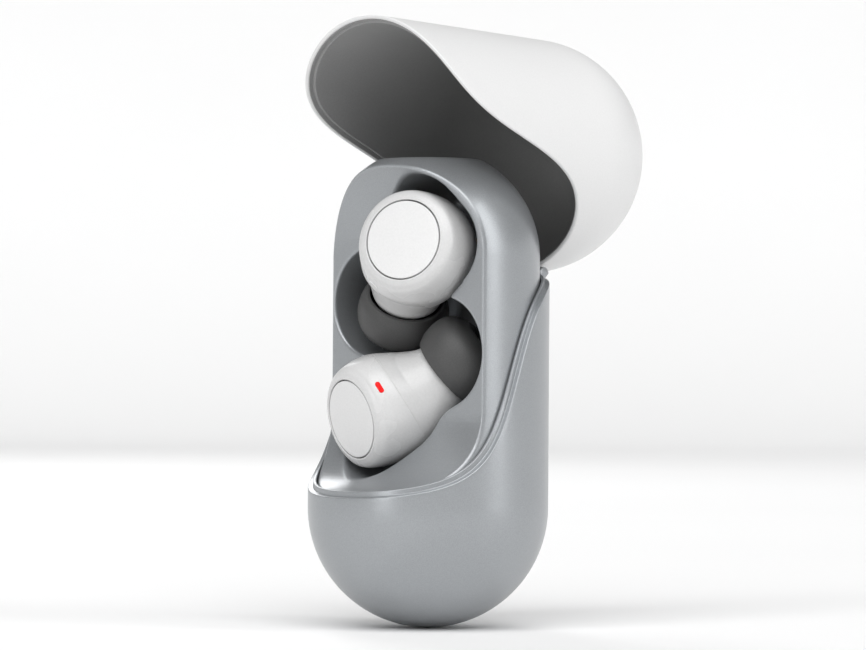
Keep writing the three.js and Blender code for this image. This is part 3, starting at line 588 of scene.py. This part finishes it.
SPINE_ANGLE = BEND * np.clip((SPINE_S - BEND_START) / (BEND_END - BEND_START), 0, 1)
SPINE_X = np.cumsum(np.sin(SPINE_ANGLE)) * SPINE_STEP * SPINE_SCALE
SPINE_Y = SPINE_SIDE["reach"] * eased(SPINE_S, SPINE_SIDE["start"], SPINE_SIDE["end"])
SPINE_Z = (np.cumsum(np.cos(SPINE_ANGLE)) * SPINE_STEP - 2 - SPINE_STEP) * SPINE_SCALE

BODY = [
    (6.4, 0.02), (7.3, 0.42), (8.0, 1.3), (8.4, 3), (8.55, 5.2), (8.4, 7.6),
    (8.0, 9.6), (7.4, 11.8), (6.7, 14), (5.9, 16.4), (5.2, 18.4), (4.2, 19.6),
]
BODY_CURVE = smooth_curve(BODY, 8)


def spine(s):
    return (np.interp(s, SPINE_S, table) for table in (SPINE_ANGLE, SPINE_X, SPINE_Y, SPINE_Z))


def swell(part, s):
    """How far a part of the body stands out at a place along the spine."""
    return part["reach"] * eased(s, *part["rise"]) * (1 - eased(s, *part["fall"]))


def fullness(s, turn):
    """How far the body stands out past a round one: on one flank of the neck and behind the face."""
    facing = np.maximum(0, np.cos(turn - SHOULDER["turn"])) ** 1.5
    return swell(FLANK, s) * (0.5 - 0.5 * np.sin(turn)) + swell(SHOULDER, s) * facing


def body_radius(s):
    return float(np.interp(s, BODY_CURVE[:, 1], BODY_CURVE[:, 0]))


def earbud_matrix(side):
    z = unit(EARBUDS[side]["inward"])
    tip = np.array(EARBUDS[side]["tip"])
    x = unit(tip - (tip @ z) * z)
    matrix = np.eye(4)
    matrix[:3, 0], matrix[:3, 1], matrix[:3, 2] = x, np.cross(z, x), z
    matrix[:3, 3] = EARBUDS[side]["face"]
    return matrix


def to_case(mesh, side):
    """Moves a mesh from an earbud's own frame to its place in the case."""
    matrix = Matrix(earbud_matrix(side).tolist())
    matrix.translation = matrix.translation * MM
    mesh.transform(matrix)
    return mesh


def bent(name, profile, ring=False):
    """Points (radius, distance along the spine) turned about the bent spine."""
    turn = np.arange(EAR_AROUND) * 2 * math.pi / EAR_AROUND
    rows = []
    for radius, s in profile:
        angle, x, y, z = spine(s)
        full = radius + (fullness(s, turn) if radius > 0 else 0 * turn)
        across = full * np.cos(turn)
        aside = full * np.sin(turn)
        rows.append(np.stack([x + across * np.cos(angle), y + aside, z - across * np.sin(angle)], 1))
    return skin(name, rows, ring)


def skin_point(s, turn):
    angle, x, y, z = spine(s)
    out = np.array([math.cos(turn) * math.cos(angle), math.sin(turn), -math.cos(turn) * math.sin(angle)])
    return np.array([x, y, z]) + (body_radius(s) + fullness(s, turn)) * out


def skin_frame(s, turn):
    """Place on the body's skin and the direction square out of it, in an earbud's frame."""
    along = skin_point(s + 0.2, turn) - skin_point(s - 0.2, turn)
    round_it = skin_point(s, turn + 0.02) - skin_point(s, turn - 0.02)
    return skin_point(s, turn), unit(np.cross(round_it, along))


def front_cover():
    end = SEAM - SEAM_GAP
    edge = [p for p in BODY_CURVE if p[1] < end - 0.1]
    r_end = body_radius(end)
    inner = DISK_RADIUS + GROOVE
    section = [
        *rounded([(inner, 1.2), (inner, 0.0), (BODY[0][0] + 0.25, 0.08)], [0, 0.12, 0], 5),
        *edge[3:],
        *rounded([(r_end, end - 0.1), (r_end, end), (r_end - EAR_WALL, end)], [0, SEAM_CORNER, 0], 2),
        (r_end - EAR_WALL, 3.0), (inner + 0.4, 1.5), (0.0, 1.5), (0.0, 1.2),
    ]
    return bent("front_cover", section)


def touch_disk():
    section = [(0, -0.12), (2.0, -0.1), (3.8, -0.05), (5.2, 0.0),
               *rounded([(5.6, 0.02), (DISK_RADIUS, 0.04), (DISK_RADIUS, 0.9)], [0, 0.1, 0], 5), (0, 0.9)]
    return bent("touch_disk", section)


def rear_housing():
    start = SEAM + SEAM_GAP
    r_start = body_radius(start)
    outside = [p for p in BODY_CURVE if start + 0.1 < p[1] < 19.4]
    seam = [(r_start - EAR_WALL / 2, start), (r_start, start), (r_start, start + 0.1)]
    section = [
        (r_start - EAR_WALL, start),
        *rounded(seam, [0, SEAM_CORNER, 0], 2),
        *outside,
        *rounded([(4.3, 19.5), (3.0, 20.4), (2.6, 20.9), (2.6, 24.4), (1.75, 24.4), (1.75, 19)],
                 [0, 0.4, 0.3, 0.2, 0.2, 0], 4),
        (4.2, 17.6),
    ]
    inside = [(r - EAR_WALL, s) for r, s in BODY_CURVE[::-1] if start < s < 17]
    return bent("rear_housing", [*section, *inside], ring=True)


def ear_tip():
    outside = smooth_curve(
        [(6.4, 18.5), (6.95, 19.8), (7.2, 21.4), (7.15, 23.0), (6.7, 24.4), (5.75, 25.5), (4.4, 26.2)], 5)
    section = [
        (2.75, 21.2), (3.4, 21.2),
        *smooth_curve([(3.6, 23.6), (4.9, 23.8), (6.5, 21.6), (5.75, 18.4)], 6),
        *rounded([(5.75, 18.4), (5.78, 18.2), (6.3, 18.2), (6.4, 18.5)], [0, 0.12, 0.2, 0], 5),
        *outside,
        *rounded(
            [(4.3, 26.25), (3.4, 26.6), (2.3, 26.6), (2.2, 25.9), (2.75, 24.7)],
            [0, 0.5, 0.4, 0.1, 0], 5,
        ),
    ]
    return bent("ear_tip", section, ring=True)


def set_in(name, outline, sizes, turn):
    """An outline set in the body's skin, from below it to above it, in an earbud's frame."""
    mesh = prism(name, outline, sizes["low"], sizes["high"], "z", sizes["bevel"])
    where, out = skin_frame(sizes["s"], turn)
    side = unit(np.array([0, 1.0, 0]) - out[1] * out)
    basis = np.eye(4)
    basis[:3, 0], basis[:3, 1], basis[:3, 2] = side, np.cross(out, side), out
    basis[:3, 3] = where * MM
    mesh.transform(Matrix(basis.tolist()))
    return mesh


def add_earbud(side, looks):
    body = f"earbud_{side}"

    def put(node, mesh, look):
        place(f"{side}_{node}_fine", to_case(mesh, side), look, body, [f"{side}_{node}"])

    put("front_cover", front_cover(), looks["earbud"])
    put("touch_disk", touch_disk(), looks["touch"])
    put("rear_housing", rear_housing(), looks["earbud"])
    put("ear_tip", ear_tip(), looks["silicone"])
    lens = set_in("led_lens", race_track(LENS["length"], LENS["width"], 0), LENS, LENS["turn"])
    # The left lens wears the painted red glow of a lit indicator; the right one keeps the plain white of an unlit
    # lens.
    put("led_lens", lens, looks["light"] if side == "left" else looks["light_off"])
    for which, sign in (("inner", -1), ("outer", 1)):
        turn = math.pi + sign * CONTACT["spread"] / body_radius(CONTACT["s"])
        contact = set_in("contact", circle(CONTACT["radius"], (0, 0), 40), CONTACT, turn)
        put(f"contact_{which}", contact, looks["gold"])


# ---- Materials ---------------------------------------------------------------------------------
GLOSS_CHANGE = 90.0  # slow changes in gloss, in cells per metre
RELIEF_STRENGTH = 0.3


def shader(name, colour, roughness, metallic=0.0, ior=1.5):
    """A new material with its main shader's constant values set."""
    material = bpy.data.materials.new(name)
    material.use_nodes = True
    nodes, links = material.node_tree.nodes, material.node_tree.links
    main = nodes["Principled BSDF"]
    main.inputs["Base Color"].default_value = (*colour, 1)
    main.inputs["Roughness"].default_value = roughness
    main.inputs["Metallic"].default_value = metallic
    main.inputs["IOR"].default_value = ior
    return material, nodes, links, main


def noise(nodes, links, per_metre, detail=2.0, rough=0.5):
    """Noise in the piece's own space, in cells per metre."""
    where = nodes.get("Texture Coordinate") or nodes.new("ShaderNodeTexCoord")
    where.name = "Texture Coordinate"
    made = nodes.new("ShaderNodeTexNoise")
    made.inputs["Scale"].default_value = per_metre
    made.inputs["Detail"].default_value = detail
    made.inputs["Roughness"].default_value = rough
    links.new(where.outputs["Object"], made.inputs["Vector"])
    return made.outputs["Fac"]


def ramped(nodes, links, value, low, high, dark, light):
    """A value from one span mapped onto a span of greys or colours."""
    ramp = nodes.new("ShaderNodeValToRGB")
    ramp.color_ramp.elements[0].position = low
    ramp.color_ramp.elements[1].position = high
    for element, shade_of in zip(ramp.color_ramp.elements, (dark, light)):
        colour = (shade_of,) * 3 if isinstance(shade_of, float) else shade_of
        element.color = (*colour, 1)
    links.new(value, ramp.inputs["Fac"])
    return ramp.outputs["Color"]


def bump(nodes, links, main, height, strength, distance):
    made = nodes.new("ShaderNodeBump")
    made.inputs["Strength"].default_value = strength
    made.inputs["Distance"].default_value = distance
    links.new(height, made.inputs["Height"])
    links.new(made.outputs["Normal"], main.inputs["Normal"])


def finish(name, dark, light, rough, metallic, grain, relief_depth, **extra):
    """A moulded or painted finish: grain in its colour and relief, and slow changes in its gloss."""
    mid = [(a + b) / 2 for a, b in zip(dark, light)]
    material, nodes, links, main = shader(name, mid, sum(rough) / 2, metallic, **extra)
    fine = noise(nodes, links, grain, 3.0, 0.6)
    slow = noise(nodes, links, GLOSS_CHANGE, 3.0)
    links.new(ramped(nodes, links, fine, 0.3, 0.7, dark, light), main.inputs["Base Color"])
    links.new(ramped(nodes, links, slow, 0.3, 0.7, rough[0], rough[1]), main.inputs["Roughness"])
    bump(nodes, links, main, fine, RELIEF_STRENGTH, relief_depth)
    return material


# The grain is in cells per metre and the depth of its relief in metres.
LOOKS = {
    "case": {
        "name": "case_silver",
        "dark": (0.31, 0.325, 0.34),
        "light": (0.38, 0.395, 0.41),
        "rough": (0.28, 0.34),
        "metallic": 0.55,
        "grain": 6500.0,
        "relief_depth": 1e-5,
    },
    "frame": {
        "name": "frame_silver",
        "dark": (0.31, 0.325, 0.34),
        "light": (0.38, 0.395, 0.41),
        "rough": (0.28, 0.34),
        "metallic": 0.55,
        "grain": 6500.0,
        "relief_depth": 1e-5,
    },
    "lid": {
        "name": "lid_white",
        "dark": (0.71, 0.71, 0.71),
        "light": (0.74, 0.74, 0.74),
        "rough": (0.34, 0.40),
        "metallic": 0.0,
        "grain": 4000.0,
        "relief_depth": 1e-5,
    },
    "liner": {
        "name": "liner_grey",
        "dark": (0.24, 0.24, 0.24),
        "light": (0.27, 0.27, 0.27),
        "rough": (0.42, 0.5),
        "metallic": 0.0,
        "grain": 4000.0,
        "relief_depth": 2e-5,
    },
    "earbud": {
        "name": "earbud_white",
        "dark": (0.60, 0.60, 0.60),
        "light": (0.64, 0.64, 0.64),
        "rough": (0.24, 0.30),
        "metallic": 0.0,
        "grain": 3000.0,
        "relief_depth": 5e-6,
    },
    "touch": {
        "name": "touch_white",
        "dark": (0.70, 0.70, 0.70),
        "light": (0.74, 0.74, 0.74),
        "rough": (0.30, 0.36),
        "metallic": 0.0,
        "grain": 3000.0,
        "relief_depth": 5e-6,
    },
    "silicone": {
        "name": "silicone",
        "dark": (0.055, 0.055, 0.055),
        "light": (0.07, 0.07, 0.07),
        "rough": (0.46, 0.55),
        "metallic": 0.0,
        "grain": 5000.0,
        "relief_depth": 1e-5,
    },
    # The lit indicator's red glow is painted into the lens's base colour; the lens gives off no light of its own.
    "light": {
        "name": "indicator_red",
        "dark": (0.7, 0.004, 0.004),
        "light": (0.85, 0.008, 0.008),
        "rough": (0.15, 0.2),
        "metallic": 0.0,
        "grain": 2500.0,
        "relief_depth": 2e-6,
        "ior": 1.2,
    },
    "light_off": {
        "name": "indicator_off",
        "dark": (0.7, 0.7, 0.7),
        "light": (0.74, 0.74, 0.74),
        "rough": (0.2, 0.26),
        "metallic": 0.0,
        "grain": 2500.0,
        "relief_depth": 2e-6,
    },
    "steel": {
        "name": "steel",
        "dark": (0.5, 0.5, 0.51),
        "light": (0.62, 0.62, 0.63),
        "rough": (0.22, 0.34),
        "metallic": 1.0,
        "grain": 5000.0,
        "relief_depth": 4e-6,
    },
    "gold": {
        "name": "gold",
        "dark": (0.78, 0.55, 0.25),
        "light": (0.88, 0.66, 0.32),
        "rough": (0.18, 0.26),
        "metallic": 1.0,
        "grain": 4000.0,
        "relief_depth": 3e-6,
    },
    "magnet": {
        "name": "magnet",
        "dark": (0.55, 0.55, 0.56),
        "light": (0.66, 0.66, 0.67),
        "rough": (0.2, 0.3),
        "metallic": 1.0,
        "grain": 4000.0,
        "relief_depth": 4e-6,
    },
    "battery": {
        "name": "battery_foil",
        "dark": (0.42, 0.47, 0.53),
        "light": (0.5, 0.55, 0.6),
        "rough": (0.3, 0.42),
        "metallic": 0.7,
        "grain": 1500.0,
        "relief_depth": 2e-5,
    },
    "board": {
        "name": "circuit_board",
        "dark": (0.01, 0.07, 0.03),
        "light": (0.02, 0.12, 0.05),
        "rough": (0.3, 0.4),
        "metallic": 0.0,
        "grain": 3000.0,
        "relief_depth": 8e-6,
    },
    "chip": {
        "name": "chip",
        "dark": (0.012, 0.012, 0.012),
        "light": (0.025, 0.025, 0.025),
        "rough": (0.45, 0.6),
        "metallic": 0.0,
        "grain": 6000.0,
        "relief_depth": 6e-6,
    },
    "foam": {
        "name": "foam",
        "dark": (0.012, 0.012, 0.012),
        "light": (0.03, 0.03, 0.03),
        "rough": (0.8, 0.95),
        "metallic": 0.0,
        "grain": 2500.0,
        "relief_depth": 8e-5,
    },
    "speaker": {
        "name": "speaker_dark",
        "dark": (0.03, 0.03, 0.035),
        "light": (0.06, 0.06, 0.065),
        "rough": (0.4, 0.55),
        "metallic": 0.2,
        "grain": 3000.0,
        "relief_depth": 1e-5,
    },
}


def make_looks():
    return {key: finish(**settings) for key, settings in LOOKS.items()}


SLOT_LOOKS = {
    "steel": "steel", "battery_foil": "battery", "foam": "foam", "circuit_board": "board", "chip": "chip",
    "magnet": "magnet", "gold": "gold", "speaker_dark": "speaker",
}


def dress_cad_nodes(looks):
    """Gives each CAD node that stays its own material's procedural look."""
    for row in frame["record"]["subparts"]:
        look = SLOT_LOOKS.get(row["material_slot"])
        node = frame["nodes"][row["node"]]
        if look and not node.hide_render:
            node.data.materials.clear()
            node.data.materials.append(looks[look])


# ---- Stage -------------------------------------------------------------------------------------
FLOOR_Z = SHELL_LOW[2]
STAGE = {"start": 1900.0, "edge": 2300.0, "rise": 500.0, "corner": 500.0, "columns": 96}
KEY = {"from": (0.42, -0.42, 0.80), "strength": 2.15, "spread": 60.0}
SURROUND = 0.27
SOFTBOX = {"distance": 0.9, "width": 0.26, "length": 0.9}
SOFTBOXES = {  # azimuth, height and power
    "softbox_right": (114.0, 0.45, 2.6),
    "softbox_front": (2.0, 0.42, 2.0),
    "softbox_back": (238.0, 0.75, 2.6),
}


def add_stage():
    """A pale floor that curves up all round, far out."""
    start, edge, rise = STAGE["start"], STAGE["edge"], STAGE["rise"]
    section = rounded([(0.0, 0.0), (start, 0.0), (edge, rise)], [0, STAGE["corner"], 0], 24)
    turn = np.arange(STAGE["columns"]) * 2 * math.pi / STAGE["columns"]
    across, along = np.cos(turn), np.sin(turn)
    rows = [np.stack([r * across, r * along, np.full(len(turn), FLOOR_Z + h)], 1) for r, h in section]
    mesh = skin("floor", rows)
    material, nodes, links, main = shader("floor_pale", (0.9, 0.9, 0.9), 0.7)
    slow = noise(nodes, links, 3.0)
    links.new(ramped(nodes, links, slow, 0.3, 0.7, 0.89, 0.91), main.inputs["Base Color"])
    mesh.materials.append(material)
    shade(mesh)
    floor = bpy.data.objects.new("floor", mesh)
    bpy.context.scene.collection.objects.link(floor)


def add_softbox(name, azimuth, height, power):
    """A tall soft light that faces the case and that the camera doesn't see."""
    turn = math.radians(azimuth)
    away = Vector((math.sin(turn), -math.cos(turn), 0)) * SOFTBOX["distance"]
    away.z = height
    data = bpy.data.lights.new(name, "AREA")
    data.shape = "RECTANGLE"
    data.size, data.size_y = SOFTBOX["width"], SOFTBOX["length"]
    data.energy = power
    box = bpy.data.objects.new(name, data)
    box.location = away
    box.rotation_euler = away.to_track_quat("Z", "Y").to_euler()
    box.visible_camera = False
    bpy.context.scene.collection.objects.link(box)


def add_lights():
    """A broad soft light from above, tall softboxes and a plain white surround."""
    for name, settings in SOFTBOXES.items():
        add_softbox(name, *settings)
    data = bpy.data.lights.new("key", "SUN")
    data.energy = KEY["strength"]
    data.angle = math.radians(KEY["spread"])
    key = bpy.data.objects.new("key", data)
    key.rotation_euler = Vector(KEY["from"]).to_track_quat("Z", "Y").to_euler()
    bpy.context.scene.collection.objects.link(key)
    world = bpy.data.worlds.new("studio")
    bpy.context.scene.world = world
    world.use_nodes = True
    world.node_tree.nodes["Background"].inputs["Color"].default_value = (1, 1, 1, 1)
    world.node_tree.nodes["Background"].inputs["Strength"].default_value = SURROUND
    bpy.context.scene.view_settings.view_transform = "Standard"


CAMERA = {"azimuth": 44.0, "elevation": -0.8, "roll": 0.4, "distance": 600.0, "lens": 159.8}
AIM = {"z": 19.0, "right": 0.66, "up": 9.37}


def add_camera():
    """A long lens at the front right, level with the case."""
    az, el, roll = (math.radians(CAMERA[key]) for key in ("azimuth", "elevation", "roll"))
    back = Vector((math.sin(az) * math.cos(el), -math.cos(az) * math.cos(el), math.sin(el)))
    right = Vector((math.cos(az), math.sin(az), 0))
    up = back.cross(right)
    turned_right = right * math.cos(roll) + up * math.sin(roll)
    turned_up = up * math.cos(roll) - right * math.sin(roll)
    target = Vector((0, 0, AIM["z"])) + turned_right * AIM["right"] + turned_up * AIM["up"]
    data = bpy.data.cameras.new("camera")
    data.lens = CAMERA["lens"]
    data.clip_start, data.clip_end = 0.05, 10
    camera = bpy.data.objects.new("camera", data)
    axes = Matrix((turned_right, turned_up, back)).transposed().to_4x4()
    camera.matrix_world = Matrix.Translation((target + back * CAMERA["distance"]) * MM) @ axes
    bpy.context.scene.collection.objects.link(camera)
    bpy.context.scene.camera = camera


# ---- Assembly ----------------------------------------------------------------------------------
def build():
    looks = make_looks()
    place("outer_shell_fine", base_shell(), looks["case"], "base", ["outer_shell"])
    place("inner_frame_fine", inner_frame(), looks["frame"], "base", ["inner_frame"], 60)
    place("lid_shell_fine", lid_shell(), looks["lid"], "lid", ["lid_shell"])
    place("lid_liner_fine", lid_liner(), looks["liner"], "lid", ["lid_liner"])
    for side in EARBUDS:
        add_earbud(side, looks)
    dress_cad_nodes(looks)
    add_stage()
    add_lights()
    add_camera()


build()
